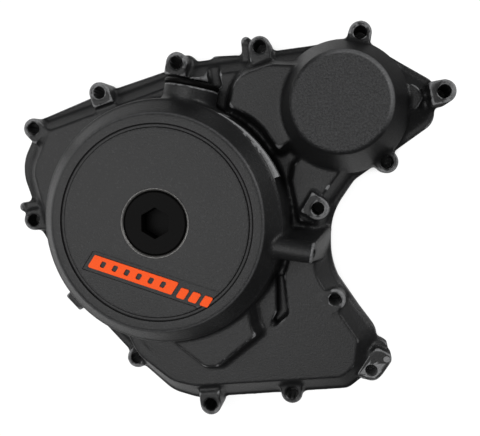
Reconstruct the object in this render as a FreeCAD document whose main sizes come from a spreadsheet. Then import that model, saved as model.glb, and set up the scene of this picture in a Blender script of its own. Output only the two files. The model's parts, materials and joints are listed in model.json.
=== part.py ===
"""Stator cover of a single-cylinder motorcycle: a die-cast left-hand crankcase cover with its two plugs.

The origin is on the crankshaft axis, on the gasket plane. +Z points out of the engine, +X forward
of the crankshaft towards the sprocket cut-out, +Y up. Lengths are in millimetres, angles in degrees.
"""
import FreeCAD, Part
import math
import os
from FreeCAD import Placement, Rotation, Vector

SIZES = {
    # Gasket flange and the sloped skirt that rises from it
    "flange_height": 7.5,
    "land_width": 8.0,
    "lip_width": 2.0,
    "skirt_width": 7.5,
    "skirt_inset": 1.0,
    "pad_slope": 6.0,
    "wall": 3.6,
    "roof": 3.6,
    "edge_round": 1.4,
    "web_round": 3.0,
    # How far a form runs into its neighbour, and a tool past the face that it cuts
    "overrun": 1.0,
    # Stepped plateaus, heights above the gasket plane
    "rear_plateau_top": 15.0,
    "lower_plateau_top": 20.0,
    "front_plateau_top": 20.0,
    "idler_plateau_top": 27.0,
    "stator_pad_top": 32.0,
    "groove_floor": 12.0,
    "drain_floor": 9.0,
    # Rotor bulge: drafted wall, bevel, and a flat disc with a ring groove
    "rotor_foot_radius": 66.0,
    "rotor_wall_radius": 63.4,
    "rotor_wall_top": 40.6,
    "rotor_face_radius": 55.75,
    "rotor_top": 51.4,
    "ring_groove_radius": 50.7,
    "ring_groove_width": 2.4,
    "recess_depth": 0.8,
    "recess_angle": -16.6,
    "recess_upper": -23.6,
    "recess_lower": -34.5,
    "recess_rear": -27.5,
    "recess_slant": 0.3,
    # Starter gear bulge: a steep cone, and the round pad at its front
    "gear_x": 92.8,
    "gear_y": 60.4,
    "gear_foot_radius": 35.5,
    "gear_top_radius": 25.4,
    "gear_top": 43.0,
    "gear_round": 3.0,
    "gear_pad_x": 126.5,
    "gear_pad_y": 64.5,
    "gear_pad_diameter": 14.5,
    "gear_pad_top": 17.5,
    # Bolt bosses and the small lugs left by moulding pins
    "bolt_hole_diameter": 6.8,
    "bolt_head_room": 30.0,
    "boss_diameter": 12.0,
    "boss_tab": 7.0,
    "dowel_diameter": 9.0,
    "dowel_depth": 6.0,
    "lug_width": 5.5,
    "lug_length": 9.0,
    "lug_height": 9.5,
    "pip_diameter": 2.8,
    "pip_height": 1.0,
    # Plug over the crankshaft bolt, and the boss that it screws into
    "crank_plug_diameter": 33.0,
    "crank_plug_head": 4.0,
    "crank_plug_shank": 27.0,
    "crank_plug_length": 13.0,
    "crank_plug_sunk": 0.5,
    "crank_socket_flats": 14.0,
    "crank_socket_depth": 9.0,
    "crank_boss_diameter": 44.0,
    "crank_boss_foot": 37.5,
    # Timing inspection plug, on a radial boss beside the rotor bulge
    "timing_angle": 79.0,
    "timing_height": 26.0,
    "timing_seat_radius": 72.0,
    "timing_boss_diameter": 28.8,
    "timing_plug_diameter": 29.4,
    "timing_plug_head": 2.8,
    "timing_plug_shank": 20.0,
    "timing_plug_length": 11.0,
    "timing_socket_flats": 10.0,
    "timing_socket_depth": 6.0,
    "timing_scoop_reach": 5.5,
    "timing_scoop_room": 1.2,
    # Sealing rings and fits of both plugs
    "ring_section": 1.6,
    "ring_room": 0.1,
    "plug_clearance": 0.15,
    "plug_chamfer": 0.8,
    # Orange inlay in the name recess: a slotted strip and three short bars
    "inlay_height": 0.75,
    "inlay_margin": 1.6,
    "inlay_strip_length": 46.5,
    "inlay_strip_width": 7.2,
    "inlay_slots": 6,
    "inlay_slot_width": 2.6,
    "inlay_slot_height": 3.4,
    "inlay_bars": 3,
    "inlay_bar_width": 4.4,
    "inlay_bar_height": 5.6,
    "inlay_gap": 2.0,
    "inlay_round": 0.8,
    # Tapered bore boss low on the front of the rotor bulge
    "tube_angle": -8.8,
    "tube_offset": -2.6,
    "tube_height": 40.0,
    "tube_root_diameter": 12.6,
    "tube_tip_diameter": 10.8,
    "tube_start": 46.0,
    "tube_end": 81.0,
    "tube_bore_diameter": 4.2,
    "tube_bore_depth": 12.0,
    # Bosses, posts and ribs on the hidden side
    "stator_posts": 3,
    "stator_first_angle": 90.0,
    "stator_bolt_circle": 62.0,
    "stator_post_diameter": 13.0,
    "stator_post_foot": 30.0,
    "stator_screw_diameter": 5.0,
    "stator_screw_depth": 12.0,
    "pickup_angle": 200.0,
    "pickup_radius": 54.0,
    "pickup_spread": 26.0,
    "pickup_post_diameter": 10.0,
    "pickup_post_foot": 24.0,
    "gear_boss_diameter": 22.0,
    "gear_boss_foot": 18.0,
    "gear_bore_diameter": 12.0,
    "gear_bore_depth": 15.0,
    "idler_x": 54.0,
    "idler_y": 66.0,
    "idler_boss_diameter": 19.0,
    "idler_boss_foot": 8.0,
    "idler_bore_diameter": 10.0,
    "idler_bore_depth": 12.0,
    "rib_count": 6,
    "rib_thickness": 3.0,
    "rib_depth": 4.5,
}

# Bolt bosses, clockwise from the rear top: centre, seat height, and the direction of the inner tab
BOLTS = {
    "rear_top": (-82.7, 50.5, 14.8, -45.0),
    "top_rear": (-41.4, 69.9, 17.9, -72.0),
    "top_timing": (3.3, 85.1, 18.8, -100.0),
    "top_idler": (48.4, 93.1, 14.6, -83.0),
    "top_gear": (101.8, 98.3, 18.9, -105.0),
    "front_tip": (143.8, 66.5, 26.3, 190.0),
    "front_gear": (116.5, 31.2, 18.2, 125.0),
    "front_inner": (80.9, 6.6, 22.7, 150.0),
    "front_lower": (90.2, -42.5, 20.2, 215.0),
    "bottom_front": (110.4, -82.4, 12.5, 150.0),
    "bottom_middle": (67.1, -96.8, 14.5, 97.0),
    "bottom_rear": (21.7, -104.8, 18.3, 97.0),
    "rear_bottom": (-23.2, -82.0, 11.2, 47.0),
    "rear_hidden": (-57.5, -46.5, 11.0, 225.0),
    "rear_middle": (-85.6, -2.6, 11.1, 5.0),
}
# The two bolts that also take a dowel bush
DOWELS = ("top_rear", "bottom_middle")

# Moulding-pin lugs: centre of the pip, and the direction in which the lug runs back to the flange
LUGS = {
    "top": (40.2, 97.0, -83.0),
    "rear": (-92.2, 5.0, 5.0),
    "bottom": (118.6, -76.2, 150.0),
}

# Edge of the gasket flange, clockwise: corner points and the radius of each corner
FLANGE_OUTLINE = [
    (-92.8, 27.0, 25.0),
    (-80.0, 56.8, 9.0),
    (10.5, 86.8, 12.0),
    (101.0, 97.2, 8.0),
    (140.5, 73.8, 6.0),
    (141.5, 53.5, 6.0),
    (101.0, 24.0, 8.0),
    (76.2, -9.5, 48.0),
    (113.0, -62.0, 12.0),
    (110.0, -82.0, 8.0),
    (100.5, -92.0, 8.0),
    (18.0, -102.0, 20.0),
    (-9.0, -94.5, 20.0),
    (-60.0, -47.5, 40.0),
    (-84.0, -6.0, 8.0),
]
# The lower plateau follows the flange from its eighth corner to its thirteenth, then closes
# under the rotor bulge
LOWER_FIRST, LOWER_LAST = 7, 13
LOWER_CLOSING = [(-36.0, -46.0, 6.0), (20.0, -20.0, 6.0), (60.0, -14.0, 4.0)]

FRONT_OUTLINE = [
    (71.4, 0.0, 2.0),
    (66.8, 21.0, 8.0),
    (68.5, 30.0, 4.0),
    (80.0, 40.0, 4.0),
    (101.0, 38.0, 4.0),
    (81.8, 11.5, 3.0),
    (79.5, -1.5, 2.0),
]
IDLER_OUTLINE = [
    (34.2, 60.5, 2.0),
    (37.0, 76.0, 12.0),
    (55.0, 82.0, 10.0),
    (84.0, 80.0, 6.0),
    (84.0, 44.0, 6.0),
    (67.0, 42.5, 2.0),
    (60.2, 38.0, 1.5),
    (49.5, 53.5, 30.0),
]
STATOR_PAD_OUTLINE = [
    (2.3, -65.0, 3.0),
    (21.5, -79.2, 3.0),
    (28.5, -78.6, 3.0),
    (49.4, -60.8, 2.0),
    (46.9, -56.4, 5.0),
    (43.6, -38.0, 3.0),
    (20.0, -30.0, 3.0),
]
GROOVE_OUTLINE = [
    (66.0, -20.5, 2.0),
    (62.9, -30.5, 3.0),
    (65.4, -51.5, 3.0),
    (56.5, -60.0, 1.0),
    (54.8, -58.6, 1.0),
    (59.0, -50.5, 3.0),
    (58.6, -30.0, 3.0),
    (61.5, -19.0, 2.0),
]
DRAIN_OUTLINE = [
    (18.9, 93.0, 1.0),
    (18.9, 82.0, 3.0),
    (20.5, 72.0, 2.0),
    (28.6, 71.0, 2.0),
    (26.2, 80.0, 4.0),
    (26.9, 93.0, 1.0),
]
BUTTRESS_FOOT = [
    (88.2, -3.8, 2.0),
    (87.2, -12.0, 20.0),
    (84.8, -22.5, 2.0),
    (62.0, -21.0, 2.0),
    (62.0, -4.0, 2.0),
]
BUTTRESS_TOP = [
    (80.8, -10.0, 1.0),
    (80.2, -15.0, 20.0),
    (79.2, -20.0, 1.0),
    (58.0, -17.0, 1.0),
    (58.6, -7.0, 1.0),
]
# Closest that two lengths are told apart, and the most of an edge that the arc at its end may take
TOUCH = 1e-4
EDGE_SHARE = 0.49

document = FreeCAD.newDocument("StatorCover")
sheet = document.addObject("Spreadsheet::Sheet", "Sizes")


def write_sheet():
    """Every driving size takes one row of the sheet: its name, and its value under that alias."""
    rows = dict(SIZES)
    for name, values in BOLTS.items():
        for field, number in zip(("x", "y", "seat", "turn"), values):
            rows["bolt_%s_%s" % (name, field)] = number
    for row, (alias, number) in enumerate(rows.items(), start=1):
        sheet.set("A%d" % row, alias)
        sheet.set("B%d" % row, str(number))
        sheet.setAlias("B%d" % row, alias)
    document.recompute()


def size(alias):
    return float(sheet.get(alias))


def bind(item, **expressions):
    """Bind properties to the sheet; a double underscore in a property's name stands for a dot."""
    for path, expression in expressions.items():
        item.setExpression(path.replace("__", "."), expression)
    return item


def feature(label, shape):
    item = document.addObject("Part::Feature", label)
    item.Shape = shape
    return item


def fuse(label, items):
    item = document.addObject("Part::MultiFuse", label)
    item.Shapes = items
    return item


def cut(label, base, tool):
    item = document.addObject("Part::Cut", label)
    item.Base = base
    item.Tool = tool
    return item


def post(label, x, y, foot, top, diameter):
    """Upright cylinder; its place, ends and diameter are expressions on the sheet."""
    item = document.addObject("Part::Cylinder", label)
    expressions = {
        "Radius": "(%s) / 2" % diameter,
        "Height": "(%s) - (%s)" % (top, foot),
        "Placement__Base__x": x,
        "Placement__Base__y": y,
        "Placement__Base__z": foot,
    }
    return bind(item, **expressions)


def cone(label, foot_radius, top_radius, foot, top, x="0", y="0"):
    """Upright cone or drafted cylinder, bound to the sheet in the same way."""
    item = document.addObject("Part::Cone", label)
    expressions = {
        "Radius1": foot_radius,
        "Radius2": top_radius,
        "Height": "(%s) - (%s)" % (top, foot),
        "Placement__Base__x": x,
        "Placement__Base__y": y,
        "Placement__Base__z": foot,
    }
    return bind(item, **expressions)


def winding(vertices):
    """+1 for an outline that runs counter-clockwise, -1 for a clockwise one."""
    area = 0.0
    for (x0, y0, _), (x1, y1, _) in zip(vertices, vertices[1:] + vertices[:1]):
        area += x0 * y1 - x1 * y0
    return 1.0 if area > 0 else -1.0


def grown(vertices, distance):
    """The outline with each edge moved outwards, parallel to itself, and its corner radii to match."""
    side = winding(vertices)
    smallest_radius = 0.6
    result = []
    for index, (x, y, radius) in enumerate(vertices):
        here = Vector(x, y, 0)
        back = here - Vector(*vertices[index - 1][:2], 0)
        ahead = Vector(*vertices[(index + 1) % len(vertices)][:2], 0) - here
        back.normalize()
        ahead.normalize()
        out_back = Vector(back.y, -back.x, 0) * side
        out_ahead = Vector(ahead.y, -ahead.x, 0) * side
        shift = (out_back + out_ahead) * (distance / (1.0 + out_back.dot(out_ahead)))
        convex = side * (back.x * ahead.y - back.y * ahead.x) > 0
        new_radius = radius + distance if convex else radius - distance
        moved = here + shift
        result.append((moved.x, moved.y, max(new_radius, smallest_radius)))
    return result


def outline_wire(vertices, height):
    """Closed wire at one height: straight edges joined by tangent arcs, each within half its edges."""
    count = len(vertices)
    corners = []
    for index, (x, y, radius) in enumerate(vertices):
        here = Vector(x, y, height)
        to_back = Vector(*vertices[index - 1][:2], height) - here
        to_ahead = Vector(*vertices[(index + 1) % count][:2], height) - here
        half_angle = to_back.getAngle(to_ahead) / 2.0
        longest = EDGE_SHARE * min(to_back.Length, to_ahead.Length)
        reach = min(radius / math.tan(half_angle), longest)
        arc_radius = reach * math.tan(half_angle)
        to_back.normalize()
        to_ahead.normalize()
        bisector = to_back + to_ahead
        bisector.normalize()
        middle = here + bisector * (arc_radius / math.sin(half_angle) - arc_radius)
        corners.append((here + to_back * reach, middle, here + to_ahead * reach))
    edges = []
    for index, (start, middle, end) in enumerate(corners):
        edges.append(Part.Arc(start, middle, end).toShape())
        edges.append(Part.LineSegment(end, corners[(index + 1) % count][0]).toShape())
    return Part.Wire(edges)


def stack(vertices, levels, rounding=0.0):
    """Solid with sloped walls through (height, growth) levels of one outline, its top edge rounded."""
    wires = [outline_wire(grown(vertices, growth), height) for height, growth in levels]
    solid = Part.makeLoft(wires, True, True)
    if rounding:
        top = levels[-1][0]
        rim = [edge for edge in solid.Edges if edge.BoundBox.ZMin > top - TOUCH]
        solid = solid.makeFillet(rounding, rim)
    return solid


def prism(vertices, foot, top):
    return Part.Face(outline_wire(vertices, foot)).extrude(Vector(0, 0, top - foot))


def turned_solid(profile, roundings):
    """Solid of revolution about Z from (radius, height) points; some of its rims are rounded."""
    points = [Vector(radius, 0, height) for radius, height in profile]
    face = Part.Face(Part.makePolygon(points + points[:1]))
    solid = face.revolve(Vector(0, 0, 0), Vector(0, 0, 1), 360)
    for height, rounding in roundings:
        boxes = [(edge, edge.BoundBox) for edge in solid.Edges]
        rims = [edge for edge, box in boxes if abs(box.ZMin - height) + box.ZLength < TOUCH]
        widest = max(rims, key=lambda edge: edge.BoundBox.XLength)
        solid = solid.makeFillet(rounding, [widest])
    return solid


def polar(radius, angle, height=0.0):
    turn = math.radians(angle)
    return Vector(radius * math.cos(turn), radius * math.sin(turn), height)


def lower_outline():
    rim = grown(FLANGE_OUTLINE, -size("lip_width") - size("skirt_width"))
    return rim[LOWER_FIRST:LOWER_LAST] + LOWER_CLOSING


def flange_plate():
    """Gasket flange: its outline joined to a disc round each bolt, the inner corners filleted."""
    radius = size("boss_diameter") / 2.0
    plan = Part.Face(outline_wire(FLANGE_OUTLINE, 0.0))
    discs = []
    for name in BOLTS:
        centre = Vector(size("bolt_%s_x" % name), size("bolt_%s_y" % name), 0)
        discs.append(Part.Face(Part.Wire(Part.makeCircle(radius, centre))))
    plan = plan.fuse(discs).removeSplitter()
    web = size("web_round")
    edge = plan.Faces[0].OuterWire.makeOffset2D(web).makeOffset2D(-web)
    return feature("flange_plate", Part.Face(edge).extrude(Vector(0, 0, size("flange_height"))))


def plateaus():
    """The sloped skirt along the flange and the four stepped pads that rise above it."""
    buried = size("flange_height") - size("overrun")
    lip = size("lip_width")
    skirt = size("skirt_width")
    slope = size("pad_slope")
    rounding = size("edge_round")
    rear_levels = [(buried, -lip), (size("rear_plateau_top"), -lip - skirt)]
    pads = [feature("rear_plateau", stack(FLANGE_OUTLINE, rear_levels, rounding))]
    rest = (
        ("lower_plateau", lower_outline(), skirt),
        ("front_plateau", FRONT_OUTLINE, slope),
        ("idler_plateau", IDLER_OUTLINE, slope),
        ("stator_pad", STATOR_PAD_OUTLINE, slope),
    )
    for label, vertices, run in rest:
        levels = [(buried, run), (size(label + "_top"), 0.0)]
        pads.append(feature(label, stack(vertices, levels, rounding)))
    return pads


def rotor_bulge():
    profile = [
        (0.0, 0.0),
        (size("rotor_foot_radius"), 0.0),
        (size("rotor_foot_radius"), size("rear_plateau_top")),
        (size("rotor_wall_radius"), size("rotor_wall_top")),
        (size("rotor_face_radius"), size("rotor_top")),
        (0.0, size("rotor_top")),
    ]
    rounding = size("edge_round")
    rims = [(size("rotor_top"), rounding), (size("rotor_wall_top"), rounding)]
    return feature("rotor_bulge", turned_solid(profile, rims))


def gear_bulge():
    profile = [
        (0.0, 0.0),
        (size("gear_foot_radius"), 0.0),
        (size("gear_foot_radius"), size("rear_plateau_top")),
        (size("gear_top_radius"), size("gear_top")),
        (0.0, size("gear_top")),
    ]
    item = feature("gear_bulge", turned_solid(profile, [(size("gear_top"), size("gear_round"))]))
    return bind(item, Placement__Base__x="Sizes.gear_x", Placement__Base__y="Sizes.gear_y")


def timing_placement(radius):
    """Frame on the timing boss at one radius from the crankshaft, +Z pointing away from it."""
    angle = size("timing_angle")
    return Placement(polar(radius, angle, size("timing_height")), Rotation(angle, 90, 0))


def timing_cylinder(label, diameter, start, end):
    item = document.addObject("Part::Cylinder", label)
    item.Placement = timing_placement(start)
    item.Height = end - start
    return bind(item, Radius="(%s) / 2" % diameter)


def tube_boss():
    """Tapered boss that leaves the rotor bulge nearly level, with the buttress that carries it."""
    angle = size("tube_angle")
    across = polar(size("tube_offset"), angle + 90.0)
    start = polar(size("tube_start"), angle, size("tube_height")) + across
    length = size("tube_end") - size("tube_start")
    root_radius = size("tube_root_diameter") / 2.0
    tip_radius = size("tube_tip_diameter") / 2.0
    shape = Part.makeCone(root_radius, tip_radius, length, start, polar(1.0, angle))
    foot = outline_wire(BUTTRESS_FOOT, size("flange_height") - size("overrun"))
    top = outline_wire(BUTTRESS_TOP, size("tube_height"))
    buttress = Part.makeLoft([foot, top], True, True)
    return [feature("tube_boss", shape), feature("tube_buttress", buttress)]


def tube_bore():
    angle = size("tube_angle")
    across = polar(size("tube_offset"), angle + 90.0)
    overrun = size("overrun")
    end = polar(size("tube_end") + overrun, angle, size("tube_height")) + across
    depth = size("tube_bore_depth") + overrun
    radius = size("tube_bore_diameter") / 2.0
    return feature("tube_bore", Part.makeCylinder(radius, depth, end, polar(-1.0, angle)))


def bolt_bosses():
    """Column round each bolt with a short tab that blends it into the skirt."""
    items = []
    for name in BOLTS:
        cells = "Sizes.bolt_%s_" % name
        seat = cells + "seat"
        items.append(post("boss_" + name, cells + "x", cells + "y", "0", seat, "Sizes.boss_diameter"))
        turn = size("bolt_%s_turn" % name)
        centre = Vector(size("bolt_%s_x" % name), size("bolt_%s_y" % name), 0)
        corner = centre - polar(size("boss_diameter") / 2.0, turn + 90.0)
        tab = document.addObject("Part::Box", "tab_" + name)
        tab.Placement = Placement(corner, Rotation(turn, 0, 0))
        items.append(bind(tab, Length="Sizes.boss_tab", Width="Sizes.boss_diameter", Height=seat))
    return items


def moulding_lugs():
    items = []
    for name, (x, y, turn) in LUGS.items():
        height = "Sizes.lug_height"
        corner = Vector(x, y, 0) - polar(size("lug_width") / 2.0, turn + 90.0)
        strip = document.addObject("Part::Box", "lug_" + name)
        strip.Placement = Placement(corner, Rotation(turn, 0, 0))
        items.append(bind(strip, Length="Sizes.lug_length", Width="Sizes.lug_width", Height=height))
        items.append(post("lug_end_" + name, str(x), str(y), "0", height, "Sizes.lug_width"))
        top = "Sizes.lug_height + Sizes.pip_height"
        items.append(post("pip_" + name, str(x), str(y), "0", top, "Sizes.pip_diameter"))
    return items


def recess_points():
    """Corners of the name recess across the disc: both rear corners, then both at the ring groove."""
    angle = size("recess_angle")
    upper = size("recess_upper")
    lower = size("recess_lower")
    rear = size("recess_rear")
    front = size("ring_groove_radius")
    skew = size("recess_slant") * (upper - lower)
    corners = [(rear, upper), (rear - skew, lower), (front, lower), (front, upper)]
    return [polar(along, angle) + polar(across, angle + 90.0) for along, across in corners]


def disc_recess():
    """What is cut from the disc: ring groove and name recess, with two raised islands left inside."""
    top = size("rotor_top")
    floor = top - size("recess_depth")
    depth = size("recess_depth") + size("overrun")
    disc = Part.makeCylinder(size("ring_groove_radius"), depth, Vector(0, 0, floor))
    island_radius = size("ring_groove_radius") - size("ring_groove_width")
    island = Part.Face(Part.Wire(Part.makeCircle(island_radius, Vector(0, 0, floor))))
    corners = [point + Vector(0, 0, floor) for point in recess_points()]
    slot = Part.Face(Part.makePolygon(corners + corners[:1]))
    tip = size("inlay_round")
    for face in island.cut(slot).Faces:
        edge = face.OuterWire.makeOffset2D(-tip).makeOffset2D(tip)
        disc = disc.cut(Part.Face(edge).extrude(Vector(0, 0, depth)))
    return feature("disc_recess", disc)


def liners():
    """Metal kept under the drain channel, the groove and the timing scoop, above the hollow."""
    wall = size("wall")
    drain_levels = [(size("drain_floor") - wall, wall), (size("rear_plateau_top") + wall, wall)]
    groove_levels = [(size("groove_floor") - wall, wall), (size("lower_plateau_top") + wall, wall)]
    scoop = timing_cylinder(
        "scoop_liner",
        "Sizes.timing_plug_diameter + 2 * Sizes.timing_scoop_room + 2 * Sizes.wall",
        size("rotor_wall_radius"),
        size("timing_seat_radius") + size("timing_scoop_reach") + wall,
    )
    return fuse(
        "liners",
        [
            feature("drain_liner", stack(DRAIN_OUTLINE, drain_levels)),
            feature("groove_liner", stack(GROOVE_OUTLINE, groove_levels)),
            scoop,
        ],
    )


def cavity():
    """Hollow of the casting: each outer form again, smaller by the wall and lower by the roof."""
    wall = size("wall")
    roof = size("roof")
    land = -size("land_width")
    skirt = -size("lip_width") - size("skirt_width")
    below = -size("overrun")
    flange_top = size("flange_height")
    inset = size("skirt_inset")
    rear_top = size("rear_plateau_top") - roof
    lower_top = size("lower_plateau_top") - roof
    rear_levels = [(below, land), (flange_top, land), (rear_top, skirt - inset)]
    lower_levels = [(below, land - skirt), (flange_top, land - skirt), (lower_top, -inset)]
    parts = [
        feature("rear_hollow", stack(FLANGE_OUTLINE, rear_levels)),
        feature("lower_hollow", stack(lower_outline(), lower_levels)),
    ]
    for label, vertices in (
        ("front_plateau", FRONT_OUTLINE),
        ("idler_plateau", IDLER_OUTLINE),
        ("stator_pad", STATOR_PAD_OUTLINE),
    ):
        levels = [(flange_top, 0.0), (size(label + "_top") - roof, -wall)]
        parts.append(feature(label + "_hollow", stack(vertices, levels)))
    rotor_foot = "Sizes.rotor_foot_radius - Sizes.wall"
    rotor_wall = "Sizes.rotor_wall_radius - Sizes.wall"
    shoulder = "Sizes.rotor_wall_top - Sizes.roof / 2"
    ceiling = "Sizes.rotor_top - Sizes.recess_depth - Sizes.roof"
    parts.append(cone("rotor_hollow", rotor_foot, rotor_wall, "-Sizes.overrun", shoulder))
    face = "Sizes.rotor_face_radius - Sizes.wall"
    parts.append(cone("bevel_hollow", rotor_wall, face, shoulder, ceiling))
    gear_foot = "Sizes.gear_foot_radius - Sizes.wall"
    gear_head = "Sizes.gear_top_radius - Sizes.wall"
    gear_roof = "Sizes.gear_top - Sizes.roof"
    place = {"x": "Sizes.gear_x", "y": "Sizes.gear_y"}
    parts.append(cone("gear_hollow", gear_foot, gear_head, "Sizes.flange_height", gear_roof, **place))
    return cut("cavity", fuse("hollow_forms", parts), liners())


def stator_places():
    """Centres of the stator screws, evenly spaced on their circle, as text for expressions."""
    count = int(size("stator_posts"))
    places = []
    for index in range(count):
        angle = size("stator_first_angle") + 360.0 * index / count
        place = polar(size("stator_bolt_circle") / 2.0, angle)
        places.append((str(place.x), str(place.y)))
    return places


def inner_posts():
    """Bosses on the hidden side, from their free end up into the roof above them."""
    ceiling = "Sizes.rotor_top - Sizes.recess_depth - Sizes.overrun"
    foot = "Sizes.crank_boss_foot"
    items = [post("crank_boss", "0", "0", foot, ceiling, "Sizes.crank_boss_diameter")]
    foot = "Sizes.stator_post_foot"
    diameter = "Sizes.stator_post_diameter"
    for index, (x, y) in enumerate(stator_places()):
        items.append(post("stator_post_%d" % index, x, y, foot, ceiling, diameter))
    foot = "Sizes.pickup_post_foot"
    diameter = "Sizes.pickup_post_diameter"
    for index, side in enumerate((-0.5, 0.5)):
        place = polar(size("pickup_radius"), size("pickup_angle") + side * size("pickup_spread"))
        x, y = str(place.x), str(place.y)
        items.append(post("pickup_post_%d" % index, x, y, foot, "Sizes.rotor_wall_top", diameter))
    for name, top in (("gear", "Sizes.gear_top"), ("idler", "Sizes.idler_plateau_top")):
        cells = "Sizes.%s_" % name
        foot = cells + "boss_foot"
        top += " - Sizes.overrun"
        items.append(post(name + "_boss", cells + "x", cells + "y", foot, top, cells + "boss_diameter"))
    return items


def inner_ribs():
    """Radial ribs under the disc, from the crank boss to the bulge's wall."""
    items = []
    ceiling = size("rotor_top") - size("recess_depth") - size("roof")
    half = size("rib_thickness") / 2.0
    start = size("crank_boss_diameter") / 2.0 - size("overrun")
    length = "Sizes.rotor_face_radius - Sizes.crank_boss_diameter / 2"
    height = "Sizes.rib_depth + Sizes.overrun"
    count = int(size("rib_count"))
    for index in range(count):
        angle = 360.0 * index / count
        corner = polar(start, angle, ceiling - size("rib_depth")) - polar(half, angle + 90.0)
        rib = document.addObject("Part::Box", "rib_%d" % index)
        rib.Placement = Placement(corner, Rotation(angle, 0, 0))
        items.append(bind(rib, Length=length, Width="Sizes.rib_thickness", Height=height))
    return items


def drillings():
    """Every hole, seat and pocket that is machined or cored through the finished casting."""
    items = [disc_recess(), tube_bore()]
    below = "-Sizes.overrun"
    for name in BOLTS:
        cells = "Sizes.bolt_%s_" % name
        x, y = cells + "x", cells + "y"
        top = cells + "seat + Sizes.bolt_head_room"
        items.append(post("hole_" + name, x, y, below, top, "Sizes.bolt_hole_diameter"))
        if name in DOWELS:
            depth = "Sizes.dowel_depth"
            items.append(post("dowel_" + name, x, y, below, depth, "Sizes.dowel_diameter"))
    foot = "Sizes.stator_post_foot - Sizes.overrun"
    top = "Sizes.stator_post_foot + Sizes.stator_screw_depth"
    for index, (x, y) in enumerate(stator_places()):
        items.append(post("stator_screw_%d" % index, x, y, foot, top, "Sizes.stator_screw_diameter"))
    for name in ("gear", "idler"):
        cells = "Sizes.%s_" % name
        foot = cells + "boss_foot - Sizes.overrun"
        top = cells + "boss_foot + " + cells + "bore_depth"
        items.append(post(name + "_bore", cells + "x", cells + "y", foot, top, cells + "bore_diameter"))
    items.append(feature("drain", prism(DRAIN_OUTLINE, size("drain_floor"), size("rotor_top"))))
    items += crank_seat() + timing_seat()
    return items


def crank_seat():
    """Counterbore, ring seat and threaded hole for the crankshaft plug, with the seat's chamfer."""
    seat = "Sizes.rotor_top - Sizes.crank_plug_sunk - Sizes.crank_plug_head"
    head = "Sizes.crank_plug_diameter + 2 * Sizes.plug_clearance"
    shank = "Sizes.crank_plug_shank + 2 * Sizes.plug_clearance"
    ring = "Sizes.crank_plug_shank + 2 * (Sizes.ring_section + Sizes.ring_room)"
    ring_floor = seat + " - Sizes.ring_section - Sizes.ring_room"
    rim = "Sizes.crank_plug_diameter / 2 + Sizes.plug_clearance"
    wide_rim = rim + " + Sizes.plug_chamfer"
    chamfer_foot = "Sizes.rotor_top - Sizes.plug_chamfer"
    thread_foot = "Sizes.crank_boss_foot - Sizes.overrun"
    return [
        post("crank_counterbore", "0", "0", seat, "Sizes.rotor_top + Sizes.overrun", head),
        post("crank_ring_seat", "0", "0", ring_floor, seat, ring),
        post("crank_thread", "0", "0", thread_foot, seat, shank),
        cone("crank_chamfer", rim, wide_rim, chamfer_foot, "Sizes.rotor_top"),
    ]


def timing_seat():
    seat = size("timing_seat_radius")
    ring_floor = seat - size("ring_section") - size("ring_room")
    return [
        timing_cylinder(
            "timing_thread",
            "Sizes.timing_plug_shank + 2 * Sizes.plug_clearance",
            size("rotor_wall_radius") - 2.0 * size("wall"),
            seat,
        ),
        timing_cylinder(
            "timing_ring_seat",
            "Sizes.timing_plug_shank + 2 * (Sizes.ring_section + Sizes.ring_room)",
            ring_floor,
            seat,
        ),
        timing_cylinder(
            "timing_scoop",
            "Sizes.timing_plug_diameter + 2 * Sizes.timing_scoop_room",
            seat,
            seat + size("timing_scoop_reach"),
        ),
    ]


def cover_casting():
    timing_boss = timing_cylinder(
        "timing_boss",
        "Sizes.timing_boss_diameter",
        size("ring_groove_radius"),
        size("timing_seat_radius"),
    )
    cells = "Sizes.gear_pad_"
    gear_pad = post("gear_pad", cells + "x", cells + "y", "0", cells + "top", cells + "diameter")
    groove = feature("groove", prism(GROOVE_OUTLINE, size("groove_floor"), size("rotor_top")))
    low_forms = cut("grooved_plateaus", fuse("low_forms", [flange_plate()] + plateaus()), groove)
    high_forms = [rotor_bulge(), gear_bulge(), timing_boss, gear_pad] + tube_boss()
    outer = fuse("outer_form", [low_forms] + high_forms)
    shell = cut("shell", outer, cavity())
    bosses = bolt_bosses() + moulding_lugs() + inner_posts() + inner_ribs()
    solid = fuse("solid_form", [shell] + bosses)
    return cut("cover_casting", solid, fuse("drillings", drillings()))


def screw_plug(label, prefix, placement):
    """Flat-headed screw plug with a hexagon socket: head on +Z, shank below, seat at its origin."""
    body = document.addObject("PartDesign::Body", label)
    head = body.newObject("PartDesign::AdditiveCylinder", label + "_head")
    bind(head, Radius="Sizes.%s_plug_diameter / 2" % prefix, Height="Sizes.%s_plug_head" % prefix)
    shank = body.newObject("PartDesign::AdditiveCylinder", label + "_shank")
    length = "Sizes.%s_plug_length - Sizes.%s_plug_head" % (prefix, prefix)
    bind(shank, Radius="Sizes.%s_plug_shank / 2" % prefix, Height=length)
    bind(shank, Placement__Base__z="-(%s)" % length)
    socket = body.newObject("PartDesign::SubtractivePrism", label + "_socket")
    socket.Polygon = 6
    depth = "Sizes.%s_socket_depth" % prefix
    circumradius = "Sizes.%s_socket_flats / sqrt(3)" % prefix
    bind(socket, Circumradius=circumradius, Height=depth + " + Sizes.overrun")
    socket.Placement = Placement(Vector(), Rotation(30, 0, 0))
    bind(socket, Placement__Base__z="Sizes.%s_plug_head - %s" % (prefix, depth))
    document.recompute()
    rim = size(prefix + "_plug_diameter") / 2.0
    names = []
    for index, edge in enumerate(body.Shape.Edges, start=1):
        if isinstance(edge.Curve, Part.Circle) and abs(edge.Curve.Radius - rim) < TOUCH:
            names.append("Edge%d" % index)
    chamfer = body.newObject("PartDesign::Chamfer", label + "_edge")
    chamfer.Base = (socket, names)
    bind(chamfer, Size="Sizes.plug_chamfer")
    body.Tip = chamfer
    body.Placement = placement
    return body


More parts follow.
